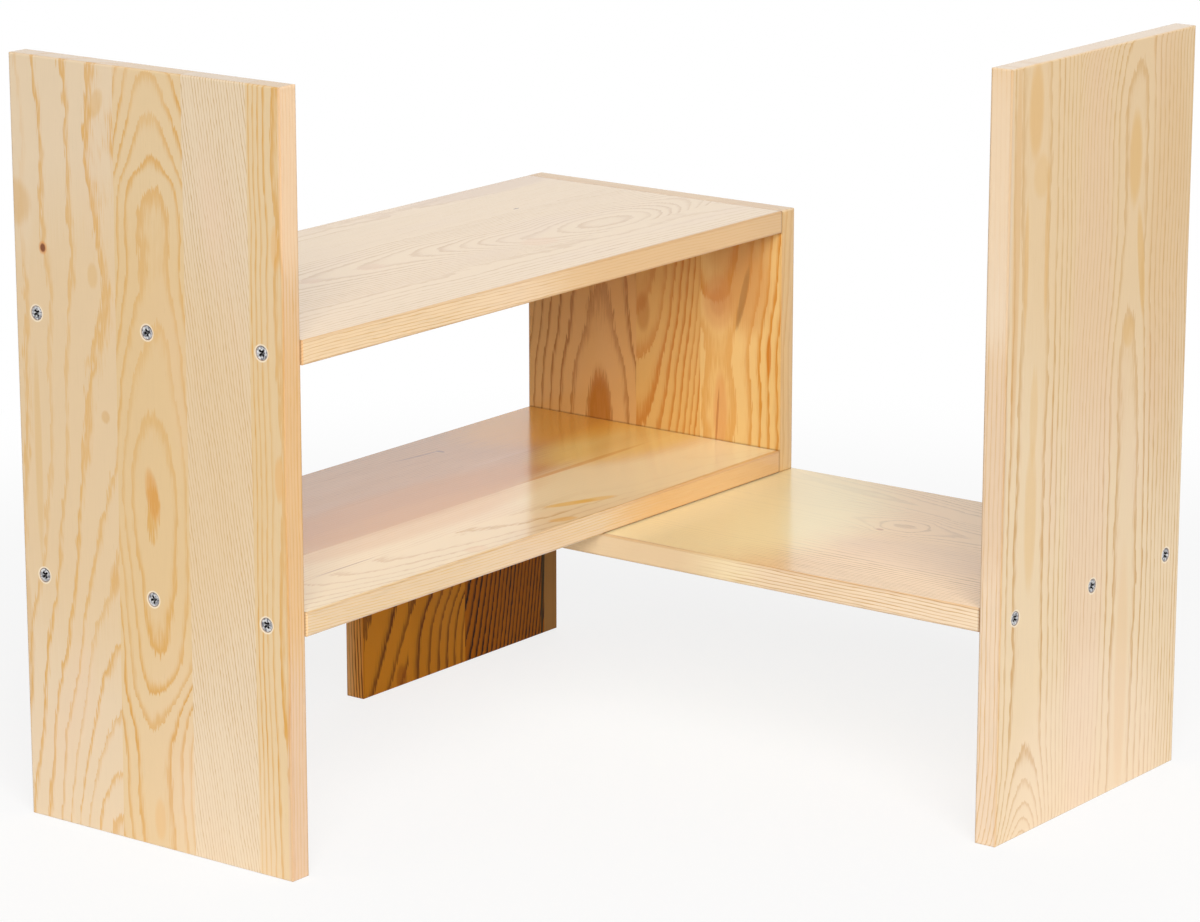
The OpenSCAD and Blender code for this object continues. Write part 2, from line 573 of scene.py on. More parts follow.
@dataclass(frozen=True)
class Pine:
    """The finish of one board: its staves and marks, under a satin lacquer.

    Attributes:
        grain: how the grain lies in the board.
        staves: the strips, in order across the board.
        marks: spots on the figured face.
        seed: shifts the board's noise, so that no two boards match.
        gloss: how thick the lacquer lies, from 0 to 1.
        rosy: how much of the rosy clouding shows, from 0 to 1.
        edge: the wood's colour on the long edges.
        edge_lines: how strong the rings are on the long edges, next to the faces.
        contacts: where other boards touch it, each with a thin dark line of painted shade round it.
        sapwood: how far the wood turns into paler sapwood, without the painted shade of its figured
            face, towards its other face, 0 to 1.
    """

    grain: Grain
    staves: tuple[Stave, ...]
    marks: tuple[Mark, ...] = ()
    seed: float = 0.0
    gloss: float = 0.75
    rosy: float = 0.35
    edge: Colour = "#eccea8"
    edge_lines: float = 0.4
    contacts: tuple[Contact, ...] = ()
    sapwood: float = 0.0

    # bare wood at the countersinks, partly a painted highlight
    bare_wood_and_highlight = "#faecd6"
    rosy_wood = "#e8c4a6"
    # painted shade in the joints between boards and next to the screw heads
    joint_shade = "#602e06"
    # painted shade on the eased edges
    rim_shade = "#ece2d6"
    end_grain = "#e8be8c"
    wander_size = (20.0, 62.0, 24.0)
    ripple_size = (5.0, 14.0, 24.0)
    fray_size = (0.7, 10.0, 0.7)
    canal_size = (0.5, 6.0, 0.5)
    streak_size = (0.9, 22.0, 0.9)
    late_rise = ((0.0, 0.0), (0.35, 0.2), (0.65, 0.75), (0.85, 1.0), (1.0, 0.9))
    pale_ring = (4.7, 3.9)
    dark_ring = (3.8, 3.45)
    ring_strength = 0.75

    def dress(self, node: str, screws: list[Vector]) -> bpy.types.Material:
        """Makes the board's material.

        Args:
            node: the board's CAD node.
            screws: middles of the screw heads that are sunk in the board.

        Returns:
            The material.
        """
        recipe = Recipe(bpy.data.materials.new(f"pine_{node}"))
        wood = Wood(recipe, self, node)
        late = self.late_wood(wood, self.rings(wood))
        colour = self.colour(wood, late)
        for mark in self.marks:
            colour = self.spot(wood, colour, mark)
        # painted shade on the eased edges, which the lamps light more than the faces
        colour = recipe.blend(self.rim(wood), colour, self.rim_shade, "MULTIPLY")
        colour = self.screw_rings(recipe, colour, screws)
        colour = recipe.blend(wood.end * 0.2, colour, self.end_grain, "MULTIPLY")
        return recipe.shade(
            self.seams(wood, colour), Roughness=0.46 - late * 0.08 + wood.fibre * 0.03,
            Normal=recipe.relief(late * 0.6 + wood.fibre * 0.25, 0.06 * MM),
            Coat_Weight=self.gloss, Coat_Roughness=0.16, Coat_IOR=1.5,
            Specular_IOR_Level=0.05 + 0.2 * self.gloss, IOR=1.45,
        )

    def rings(self, wood: Wood) -> Field:
        """The ring number at a point: the stave's formula plus three sizes of wander.

        Args:
            wood: the board's wood.

        Returns:
            The ring number as a field.
        """
        offset = wood.across - wood.heart
        below = wood.deep + wood.pith
        reach = ((offset * offset + below * below).root() - wood.pith) / wood.ring
        far = wood.across + wood.shift + self.seed
        wander = wood.noise(self.wander_size, across=far) * wood.sway
        ripple = wood.noise(self.ripple_size, 1.0, far) * (wood.sway * 0.4)
        fray = wood.noise(self.fray_size, across=far) * 0.08
        pull = offset / wood.calm
        return wood.crown / (pull * pull + 1.0) + reach + wander + ripple + fray

    def late_wood(self, wood: Wood, rings: Field) -> Field:
        """How much late wood shows: it deepens late in a year and stops sharply at its end.

        Args:
            wood: the board's wood.
            rings: the ring number.

        Returns:
            The share of late wood's colour, stronger in some years and on the long edges.
        """
        done = rings.part()
        deepening = wood.recipe.ramp((done - 1.0) / wood.bold + 1.0, self.late_rise)
        year = rings.whole() * 3.7
        mood = wood.recipe.noise((year, self.seed, wood.along / 150.0)) * 0.35 + 0.8
        edge = wood.side * (self.edge_lines - 1.0) + 1.0
        return deepening.most(done.rise(0.06, 0.0) * 0.9) * mood * wood.late * edge

    def colour(self, wood: Wood, late: Field) -> bpy.types.NodeSocket:
        """The wood's colour: early to late, clouded rosy, with fibres and resin canals.

        Args:
            wood: the board's wood.
            late: how much late wood shows.

        Returns:
            The socket of the colour.
        """
        blend, side = wood.recipe.blend, wood.side
        early = blend(side * 0.7, blend(wood.pale, wood.early, SAPWOOD.early), self.edge)
        colour = blend(late, early, blend(wood.pale, wood.dark, SAPWOOD.late))
        point = ((wood.across + wood.shift) / 38.0, wood.along / 120.0, self.seed)
        cloud = wood.recipe.noise(point, 1.0)
        colour = blend(cloud.rise(0.0, 1.4) * self.rosy, colour, self.rosy_wood)
        canal = wood.noise(self.canal_size, across=wood.across + self.seed).rise(1.15, 1.6)
        streak = wood.noise(self.streak_size, 1.0) * (side * 0.05 + 0.014)
        shine = 1.0 + wood.fibre * 0.022 + cloud * 0.012 + streak - canal * (side * 0.08 + 0.09)
        return blend(1.0, colour, blend(shine, BLACK, WHITE), "MULTIPLY")

    def spot(self, wood: Wood, colour: Any, mark: Mark) -> bpy.types.NodeSocket:
        """Lays a mark on the colour, dense in the middle and frayed along the grain.

        Args:
            wood: the board's wood.
            colour: the socket of the colour below.
            mark: the mark.

        Returns:
            The socket of the colour with the mark.
        """
        past = wood.along - mark.along
        side = (wood.across - past * mark.lean - mark.across) / mark.wide
        way = past / mark.tall
        spread = side * side + way * way + wood.fibre * 0.16
        strength = (1.0 - wood.pale) * mark.strength if mark.shallow else mark.strength
        return wood.recipe.blend(spread.rise(1.15, 0.35) * strength, colour, mark.colour)

    def rim(self, wood: Wood) -> Field:
        """1 on the eased long edges, which get painted shade against the light that their rounding
        catches, and 0 away from them.
        """
        from_edge = wood.across.least(wood.width - wood.across).most(0.0)
        from_face = wood.deep.least(wood.thick - wood.deep).most(0.0)
        return (from_edge + from_face).rise(1.5, 0.5)

    def seams(self, wood: Wood, colour: Any) -> Any:
        """Paints shade on the wood within a millimetre of the places where another board touches
        it.

        Args:
            wood: the board's wood.
            colour: the socket of its colour.

        Returns:
            The socket of the darkened colour.
        """
        point = (wood.across, wood.along, wood.deep)
        for contact in self.contacts:
            away: Any = 0.0
            for place, (low, high) in zip(point, (contact.across, contact.along, contact.deep)):
                away = (low - place).most(place - high).most(away)
            # painted shade round the contact
            colour = wood.recipe.blend(away.rise(1.0, 0.2) * contact.dark, colour, self.joint_shade)
        return colour

    def screw_rings(self, recipe: Recipe, colour: Any, screws: list[Vector]) -> Any:
        """Pale bare wood round each countersunk head, partly a painted highlight on its
        countersink, with a dark line of painted shade next to the metal.

        Args:
            recipe: the material's recipe.
            colour: the socket of the wood's colour.
            screws: middles of the heads, in metres.

        Returns:
            The socket of the colour with the rings.
        """
        place = recipe.place()
        for head in screws:
            x, y, z = (part - middle / MM for part, middle in zip(place, head))
            away = (x * x + y * y + z * z).root()
            # the pale ring is bare wood and painted highlight, the dark ring painted shade
            for ring, wood in ((self.pale_ring, self.bare_wood_and_highlight), (self.dark_ring, self.joint_shade)):
                colour = recipe.blend(away.rise(*ring) * self.ring_strength, colour, wood)
        return colour


UP_FROM_BACK = Grain((Axis.X, 1), (Axis.Z, 1), (Axis.Y, 1))
UP_FROM_FRONT = Grain((Axis.Y, 1), (Axis.Z, 1), (Axis.X, -1))
TO_THE_BOX = Grain((Axis.X, -1), (Axis.Y, 1), (Axis.Z, -1))
TO_THE_PANEL = Grain((Axis.Y, 1), (Axis.X, 1), (Axis.Z, -1))

UPPER_SHELF_ENDS = (Contact((-20, 0), across=(1.8, 180)), Contact((386, 400)))

UPPER_TALL_PINE = Pine(
    grain=UP_FROM_BACK,
    staves=(
        Stave(glue=61.5, slant=5.5, pith=20, ring=14.4, late=0.9, bold=0.27, sway=0.2, calm=40,
              crown=((0, -6.4), (15, -5.9), (32, -5.2), (50, -4.6), (66, -4), (82, -3.5), (100, -3),
                     (120, -2.5), (150, -1.9), (180, -1.3), (240, -0.6), (320, -0.36),
                     (380, -0.33)),
              heart=((0, 62), (100, 65), (150, 69), (200, 69), (320, 66), (380, 64))),
        Stave(glue=108.5, slant=1.5, pith=48, ring=2.2, tone=STRAW, late=0.85, bold=0.42, sway=0.2,
              crown=((0, 3.5), (15, 3.5), (45, 3.4), (64, 2.9), (80, 2), (103, 1), (150, 0.25),
                     (177, 0.1), (200, 0.45), (222, 1), (245, 1.55), (262, 2), (284, 2.5),
                     (307, 2.6), (322, 3), (336, 4), (357, 5), (380, 6)),
              heart=((0, 85.5), (64, 83.5), (103, 90), (177, 87), (225, 87.5), (262, 90), (307, 90),
                     (380, 90.5))),
        Stave(glue=149.5, pith=20, ring=1.75, tone=BLUSH, bold=0.45,
              crown=(0, 0.5), heart=(-20, -80)),
        Stave(glue=170, pith=12, ring=2.2, tone=STRAW, late=0.85, bold=0.42, sway=0.1,
              crown=((0, 1.2), (60, 1), (120, 0.6), (175, 0.9), (200, 1.05), (230, 0.85),
                     (290, 0.7), (310, 1.02), (340, 0.8), (380, 0.9)),
              heart=(170, 168)),
    ),
    marks=(
        Mark(60, 200, 120, 130, "#deb470", 0.28),
        Mark(6, 335, 9, 62, CREAM.early, 0.75),
        Mark(12, 185, 2.6, 55, "#d8ac64", 0.4),
        Mark(51, 278, 3.5, 7, "#d8aa60", 0.4),
        Mark(88, 376, 20, 28, STRAW.early, 0.45),
        Mark(130, 10, 40, 70, "#f0dcc0", 0.2),
        Mark(19, 287.6, 2.9, 3.6, "#d68a3c", 0.7),
        Mark(19, 287.6, 1.9, 2.4, "#7c3e00", 1.0),
        Mark(86, 176, 4.5, 14, "#d69232", 0.6, -0.16),
        Mark(86, 14, 4, 12, RESIN, 0.25),
        Mark(0, 308, 13, 13, "#d2a460", 0.5),
        Mark(0, 90, 5, 44, "#d4a664", 0.4),
        Mark(56, 361, 4.5, 8, "#d6a860", 0.45, 0.3),
        Mark(60, 130, 3.5, 9, "#d6a254", 0.4),
        Mark(57, 210, 3, 3.5, "#d0a05c", 0.5),
        Mark(166, 196, 3, 12, RESIN, 0.4),
        Mark(166, 305, 3, 12, RESIN, 0.3),
        Mark(170, 345, 1.6, 60, "#f6d6b2", 0.6),
        Mark(170, 190, 2.5, 90, "#e4b26e", 0.35),
        Mark(170, 20, 2.5, 90, "#deba9a", 0.5),
    ),
    seed=11,
    edge="#e6c29e",
    edge_lines=0.9,
    contacts=(Contact((118.5, 130.5), (12, 30)), Contact((249, 261), (12, 30))),
)

LOWER_TALL_PINE = Pine(
    grain=UP_FROM_FRONT,
    staves=(
        Stave(glue=62, pith=35, ring=2.2, tone=BUTTER, late=0.95, sway=0.12, calm=18,
              crown=((0, -3.4), (6, -2.4), (12, -1.5), (20, -0.6), (28, 0.05), (45, 1.02),
                     (60, 1.2), (130, 1.35), (205, 1.45), (270, 1.5), (345, 1.5), (380, 1.5)),
              heart=((0, 22), (45, 25), (160, 24), (270, 25), (345, 23), (380, 23))),
        Stave(glue=170, pith=41, ring=2.2, tone=BUTTER, late=1.05, sway=0.14,
              crown=((0, 0.3), (60, 0.35), (130, 0.4), (150, 0.42), (200, 0.5), (225, 0.72),
                     (243, 1), (255, 1.25), (300, 1.4), (345, 1.5), (365, 1.85), (370, 2),
                     (380, 2.3)),
              heart=((0, 114), (130, 115), (243, 114), (300, 116), (345, 116), (380, 121))),
    ),
    marks=(
        # painted light on the top end, brighter than the lamps leave it
        Mark(85, 381, 400, 1.5, "#fff6e6", 0.8),
        Mark(78, 180, 22, 240, "#eccaac", 0.4),
        Mark(85, 0, 86, 90, "#f6dec4", 0.35),
        Mark(150, 260, 24, 130, "#d4a260", 0.25),
        Mark(0, 312, 3, 72, "#e7d5be", 0.8),
        Mark(0, 190, 2.5, 60, "#d4b490", 0.4),
        Mark(7, 290, 3.4, 110, "#d89c48", 0.4),
        Mark(85, 400, 140, 230, "#deb068", 0.3),
        Mark(115, 322, 6.5, 26, AMBER, 0.6),
        Mark(123, 270, 3.4, 30, AMBER, 0.6, -0.12),
        Mark(113, 236, 6, 9, AMBER, 0.4),
        Mark(115, 62, 6.5, 70, RESIN, 0.16),
        Mark(25, 160, 6, 40, AMBER, 0.35),
        Mark(26, 210, 4, 26, AMBER, 0.3),
        Mark(22, 358, 7, 26, DEEP_AMBER, 0.5),
        Mark(28, 326, 8, 12, AMBER, 0.3),
        Mark(34, 290, 2, 40, DEEP_AMBER, 0.4),
        Mark(16, 285, 2, 34, DEEP_AMBER, 0.45),
    ),
    seed=23,
    edge="#e2cab1",
    edge_lines=0.8,
    contacts=(Contact((106.5, 118.5), (12, 30)),),
)

# The end panel's inner face, inside the box, carries painted warm light and shade in its tones and
# marks.
END_PINE = Pine(
    grain=UP_FROM_BACK,
    staves=(
        Stave(glue=74.5, pith=40, ring=4, tone=SHADED_DUSK, late=0.9, sway=0.06,
              crown=((0, -0.3), (20, -0.18), (40, 0.05), (60, 0.62), (80, 0.9), (142.5, 1.5)),
              heart=(49.5, 50)),
        Stave(glue=117.5, pith=50, ring=2.2, tone=SHADED_HONEY, late=0.85, bold=0.6, sway=0.1,
              crown=((0, 1.9), (10, 2), (20, 1.75), (35, 1.3), (48, 1), (62, 0.5), (75, 0),
                     (100, -0.6), (142.5, -1.5)),
              heart=(76, 76)),
        Stave(glue=170, pith=40, ring=3.6, tone=SHADED_GOLD, late=0.95, bold=0.56, sway=0.12,
              crown=((0, 0), (20, -0.35), (40, -0.35), (60, -0.25), (80, -0.75), (100, -1.5),
                     (142.5, -2)),
              heart=((0, 131), (60, 130), (100, 128), (142.5, 128))),
    ),
    marks=(
        Mark(129, 88, 11, 17, "#da9e62", 0.6),
        Mark(129, 88, 6, 9, "#c4804a", 0.3),
        Mark(131, 28, 5, 24, "#dea060", 0.7),
        Mark(129, 24, 0.8, 18, "#b06c34", 0.6, 0.06),
        # painted shade under the top shelf
        Mark(150, 96, 16, 26, "#c88438", 0.35),
        Mark(145.5, 93, 2.4, 19, "#70603c", 0.6, 0.22),
        Mark(162.5, 63, 1.6, 13, "#ce7e24", 0.8),
        Mark(79, 76, 5, 12, "#ba7424", 0.5),
        Mark(49.5, 8, 9, 36, "#b66c00", 0.75),
        # painted shade under the top shelf
        Mark(143, 128, 24, 58, "#c8863e", 0.45),
        # painted light on the top end, brighter than the lamps leave it
        Mark(85, 146, 400, 4.5, "#feecd2", 0.95),
    ),
    seed=37,
    gloss=0.35,
    sapwood=0.85,
    rosy=0.1,
    edge="#eeca98",
    edge_lines=0.35,
    contacts=(Contact((0, 12), (-10, 0)), Contact((130.5, 142.5), (-10, 0))),
)

# The leg's inner face and its edges carry painted warm shade, as under the lower shelf.
LEG_PINE = Pine(
    grain=UP_FROM_FRONT,
    staves=(
        Stave(glue=38, pith=300, ring=2, tone=SHADED_TAN, bold=0.4, sway=0.05,
              crown=(-0.14, -0.14), heart=((0, -29.4), (43, -9), (106.5, 21))),
        Stave(glue=87, pith=60, ring=4.5, tone=SHADED_TAN, late=1.1, bold=0.46, sway=0.03,
              crown=(-0.25, -0.25),
              heart=((0, 20), (15, 20.5), (28, 23), (36, 26.5), (43, 31), (106.5, 60))),
        Stave(glue=158, pith=44, ring=2.6, tone=SHADED_UMBER, late=1.35, bold=0.6, sway=0.05,
              crown=((0, -0.43), (43, -2.58), (106.5, -5.7)), heart=(72.5, 72.5)),
        Stave(glue=170, pith=10, ring=5, tone=DRAB, late=0.3, sway=0.05,
              crown=(0.3, 0.3), heart=(175, 175)),
    ),
    marks=(
        Mark(157, 43, 1.7, 60, "#2c2a10", 0.85, 0.03, shallow=True),
        Mark(32, 4, 5, 9, "#965410", 0.6),
        Mark(62, 20, 24, 60, "#965c0c", 0.15),
    ),
    seed=41,
    gloss=0.05,
    sapwood=0.95,
    rosy=0.03,
    # orange edges: painted warm shade, as on the leg's inner face
    edge="#e8a456",
    edge_lines=2.2,
    contacts=(Contact((106.5, 118.5), (-10, 0)),),
)

UPPER_TOP_PINE = Pine(
    grain=TO_THE_BOX,
    staves=(
        Stave(glue=40, slant=1, pith=73, ring=1.4, tone=LINEN, late=0.9, bold=0.35,
              crown=((0, 0), (200, 0.8), (386, 0)), heart=(50, 36)),
        Stave(glue=112, pith=40, ring=1.7, tone=LINEN, late=1.2, bold=0.5, sway=0.12,
              crown=((0, 2.2), (50, 1.2), (95, 0), (135, -1), (175, -2), (195, -3), (210, -4),
                     (222, -5), (232, -6), (245, -7), (270, -8), (285, -9), (305, -9.5), (325, -9),
                     (340, -8), (350, -7), (360, -6), (370, -5), (386, -4)),
              heart=((0, 82), (180, 80), (220, 70), (300, 57), (386, 62))),
        Stave(glue=150, pith=20, ring=1.8, tone=LINEN, late=0.7, sway=0.4,
              crown=(0, 1), heart=(60, 66)),
        Stave(glue=170, pith=30, ring=2.4, tone=LINEN, late=0.9, bold=0.35, sway=0.35,
              crown=((0, 0), (160, 0.9), (386, 0.2)), heart=(165, 158)),
    ),
    marks=(
        Mark(53, 246, 9, 13, "#f0be8c", 0.5),
        Mark(83, 100, 7, 8, "#eebe8c", 0.45),
        Mark(80, 145, 7, 10, "#eebe8c", 0.4),
        Mark(166, 345, 17, 80, "#d6b092", 0.55),
        Mark(116, 307, 0.8, 2.6, "#68482c", 0.95),
        Mark(0, 320, 2.5, 150, "#e0b476", 0.7),
    ),
    seed=53,
    gloss=1.0,
    edge="#f3d8b4",
    edge_lines=1.0,
    contacts=UPPER_SHELF_ENDS,
)

UPPER_LOW_PINE = Pine(
    grain=TO_THE_BOX,
    staves=(
        Stave(glue=34, pith=129, ring=1.4, tone=MILK, bold=0.3, sway=0.2,
              crown=((0, 3), (20, 2.4), (45, 1.4), (70, 0.5), (110, -0.5), (160, -1.2),
                     (200, -1.95), (235, -2), (270, -2.3), (330, -3), (386, -4)),
              heart=(38, 30)),
        Stave(glue=67, pith=20, ring=2.6, tone=MILK, late=0.5, crown=(0, 1), heart=(-20, -10)),
        Stave(glue=108, pith=25, ring=2.4, tone=SHADED_SAND, late=1.2, crown=(0, 1.4), heart=(30, 22)),
        Stave(glue=150, pith=22, ring=2, tone=SHADED_SAND, crown=(0, 1), heart=(70, 62)),
        Stave(glue=170, pith=22, ring=2.4, tone=SHADED_SAND, crown=(0, 1), heart=(120, 112)),
    ),
    marks=(
        # Painted light and shade: the first of the next three marks lights the front near the end
        # panel, the other two are a rosy zone of painted shade under the top shelf.
        Mark(36, 330, 46, 130, "#fff4cc", 0.85),
        Mark(66, 150, 24, 120, "#e8b476", 0.5),
        Mark(88, 170, 28, 130, "#d29040", 0.6),
        Mark(23, 232, 4, 16, "#f8c446", 0.65, -0.35),
        Mark(18, 246, 4, 14, "#f8c446", 0.5, -0.3),
        Mark(7, 205, 4, 9, "#f6bc4c", 0.55, -0.3),
        Mark(7, 135, 5, 8, "#f6ca96", 0.4),
        Mark(37, 70, 0.7, 26, "#b0825c", 0.6),
        Mark(147, 262, 1.0, 18, "#8c6450", 0.6, -0.1),
        Mark(144, 276, 3.0, 1.4, "#7e5a4a", 0.8),
        # painted reflection of the end panel, golden, in the lacquer near it
        Mark(82, 376, 34, 96, "#ffe88e", 0.75),
        Mark(66, 380, 26, 90, "#e2ac5c", 0.35),
        Mark(68, 300, 2.4, 60, "#d89232", 0.45),
        # painted shade and reflection in the back corner by the end panel
        Mark(140, 400, 56, 110, "#f0b028", 0.7),
        Mark(0, 370, 3, 140, "#e2a042", 0.65),
    ),
    seed=67,
    gloss=1.0,
    edge="#e0c2a2",
    edge_lines=1.5,
    # the last contact: a darker line of painted shade where this shelf rests on the lower unit's
    # shelf
    contacts=(*UPPER_SHELF_ENDS, Contact((230, 400), (12, 30), (-10, 0), 0.85)),
)

LOWER_SHELF_PINE = Pine(
    grain=TO_THE_PANEL,
    staves=(
        Stave(glue=42, pith=60, ring=1.3, tone=CHALK, late=1.4, bold=0.42, sway=0.2,
              crown=(0.1, 0.45), heart=(62, 58)),
        Stave(glue=88, pith=25, ring=2.4, tone=CHALK, late=0.8, crown=(0, 1), heart=(20, 26)),
        Stave(glue=130, pith=30, ring=1.6, tone=CHALK, late=0.8, bold=0.4, sway=0.12,
              crown=((0, 1), (150, 0.6), (230, 0.3), (262, -1.2), (275, -2.2), (288, -1.2),
                     (320, 0.2), (386, 0.8)),
              heart=(104, 105)),
        Stave(glue=170, pith=20, ring=2.2, tone=CHALK, late=0.9, bold=0.4, sway=0.25,
              crown=(0, 1.5), heart=(190, 120)),
    ),
    marks=(
        # painted light and reflection: the bright golden zone in the middle of the shelf
        Mark(70, 160, 130, 115, "#fff4c2", 0.8),
        Mark(60, 312, 28, 56, "#e6c29e", 0.35),
        Mark(0, 150, 2.2, 92, "#e2c59e", 0.9),
        Mark(92, 268, 1.6, 2.6, "#be825a", 0.7),
    ),
    seed=79,
    gloss=0.85,
    edge="#e7d4bb",
    edge_lines=0.85,
    contacts=(Contact((-20, 0)), Contact((386, 400))),
)


@dataclass(frozen=True)
class Zinc:
    """Bright zinc plate on the screws: a cool grey metal with faint drawing marks.

    The last three fields are the size of its clouds and of its drawing marks, and the width of
    a crevice that gets painted shade, in mm.
    """

    bright: Colour = "#e4e3e2"
    dull: Colour = "#707076"
    # painted shade in the recess
    recess_shade: Colour = "#141418"
    cloud: float = 1.3
    drawing: float = 0.18
    reach: float = 1.6

    def dress(self) -> bpy.types.Material:
        """Makes the metal's material."""
        recipe = Recipe(bpy.data.materials.new("zinc_plate"))
        place = recipe.place()
        cloud = recipe.noise([part / self.cloud for part in place], 2.0)
        marks = recipe.noise([part / self.drawing for part in place], 1.0)
        colour = recipe.blend(cloud.rise(-0.8, 0.9), self.dull, self.bright)
        # painted shade in the recess and the screw's other crevices
        colour = recipe.blend(recipe.crevice(self.reach * MM) * 0.95, colour, self.recess_shade)
        return recipe.shade(
            colour, Metallic=1.0, Roughness=0.2 + cloud * 0.05 + marks * 0.03,
            Normal=recipe.relief(marks * 0.5 + cloud * 0.3, 0.02 * MM),
        )


def around(radius: np.ndarray, angle: np.ndarray, height: np.ndarray) -> np.ndarray:
    """Points round a screw's axis: an array of rows, spokes and three coordinates."""
    parts = np.broadcast_arrays(radius * np.cos(angle), radius * np.sin(angle), height)
    return np.stack(parts, axis=2)


@dataclass(frozen=True)
class Screw:
    """A countersunk wood screw with a cross recess, as one closed grid of rows and spokes.

    The rows run from the middle of the head's face out over the rim, down the cone, along the
    shank and the thread to the point.

    Attributes, all in mm:
        head, rim, rim_round: the head's width, its upright rim and the radius of the rim's edge.
        shank, core, thread: widths of the plain shank, inside the thread and over it.
        pitch, length: height of one turn, and of the whole screw.
        plain, tip: where the thread starts, and how far it narrows to the point.
        wing, wing_top, wing_floor: span of the recess's cross, and its wings' widths.
        wing_end, floor_depth: run of the rise at a wing's end, and the floor's depth there.
        socket, depth: width of the round cone between the wings, and the recess's depth.
    """

    head: float = 6.6
    rim: float = 0.15
    rim_round: float = 0.12
    shank: float = 3.1
    core: float = 2.3
    thread: float = 3.5
    pitch: float = 1.7
    length: float = 35.0
    plain: float = 9.0
    tip: float = 5.0
    wing: float = 4.0
    wing_top: float = 1.15
    wing_floor: float = 0.75
    wing_end: float = 0.35
    socket: float = 2.5
    depth: float = 1.9
    floor_depth: float = 1.2

    spokes_in_all = 32
    limits = (0.86, 0.56)
    face_rows = (0.0, 0.22, 0.42, 0.6, 0.8, 1.0, 1.25, 1.45, 1.65, 1.83, 2.0, 2.3, 2.7)
    thread_rows = 150

    def spokes(self, radius: np.ndarray) -> np.ndarray:
        """Angles of the 32 spokes on each row: eight a quarter, five of them on the walls.

        Near the middle, where a wall would pass an eighth of a turn, a set share of it is kept.

        Args:
            radius: the radius of each row.

        Returns:
            One row of angles for each radius.
        """
        reach = np.maximum(radius, TINY)[:, None]
        top, floor = (
            np.arcsin(np.minimum(width / 2 / reach, math.sin(math.pi / 4 * limit)))
            for width, limit in zip((self.wing_top, self.wing_floor), self.limits)
        )
        right = math.pi / 2
        gap = (right - 2 * top) / 4
        between = [top + step * gap for step in range(4)]
        quarter = np.concatenate([0 * top, floor, *between, right - top, right - floor], axis=1)
        return np.concatenate([quarter + turn * right for turn in range(4)], axis=1)

    def recess(self, radius: np.ndarray) -> np.ndarray:
        """Depth of the recess under each spoke of each row.

        A wing's floor falls from floor_depth at its end to depth in the middle, and its end
        rises steeply. Between the wings the round socket is a cone.

        Args:
            radius: the radius of each row.

        Returns:
            One row of 32 depths for each radius.
        """
        half = self.wing / 2
        slope = self.floor_depth + (self.depth - self.floor_depth) * (1 - radius / half)
        wing = np.clip((half - radius) / self.wing_end, 0, 1) * slope
        cone = self.depth * np.clip(1 - radius / (self.socket / 2), 0, 1)
        in_wing = np.array([1, 1, 0, 0, 0, 0, 0, 1])
        quarter = np.where(in_wing > 0, np.maximum(wing, cone)[:, None], cone[:, None])
        return np.tile(quarter, (1, 4))

    def grid(self) -> np.ndarray:
        """Points of the screw about its own axis, with the head's face at 0 and the point below.

        Returns:
            An array of rows, spokes and three coordinates.
        """
        top, side = self.head / 2, self.shank / 2
        face = np.array([*self.face_rows, top - self.rim_round])
        spokes = self.spokes(face)
        bend = np.linspace(math.pi / 8, math.pi / 2, 4)
        inward, down = self.rim_round * (1 - np.sin(bend)), self.rim_round * (1 - np.cos(bend))
        rim, neck = self.rim + self.rim_round, self.rim + self.rim_round + top - side
        cone = [[top, -rim], [side + 0.3, -neck + 0.35], [side, -neck], [side, -self.plain]]
        outline = np.concatenate([np.stack([top - inward, -down], axis=1), cone])
        even = np.arange(self.spokes_in_all) * (2 * math.pi / self.spokes_in_all)
        ease = np.linspace(0.15, 1, len(outline))[:, None]
        flat = around(face[:, None], spokes, -self.recess(face))
        body = around(outline[:, :1], spokes[-1] * (1 - ease) + even * ease, outline[:, 1:])
        return np.concatenate([flat, body, self.threads(even)])

    def threads(self, even: np.ndarray) -> np.ndarray:
        """The threaded stretch: a core that rises to a crest once a pitch, turned into a helix.

        Args:
            even: angles of the spokes.

        Returns:
            Points of its rows, the last of them the screw's point.
        """
        depth = np.linspace(self.plain + 0.2, self.length, self.thread_rows)[:, None]
        turn = (depth / self.pitch - even / (2 * math.pi)) % 1.0
        crest = np.clip(1 - np.abs(turn - 0.5) / 0.32, 0, 1) ** 1.3
        fade = np.clip((depth - self.plain) / self.pitch, 0, 1)
        taper = np.clip((self.length - depth) / self.tip, 0, 1)
        radius = (self.core / 2 + (self.thread - self.core) / 2 * crest * fade) * taper + 0.02
        return around(radius, even, -depth)

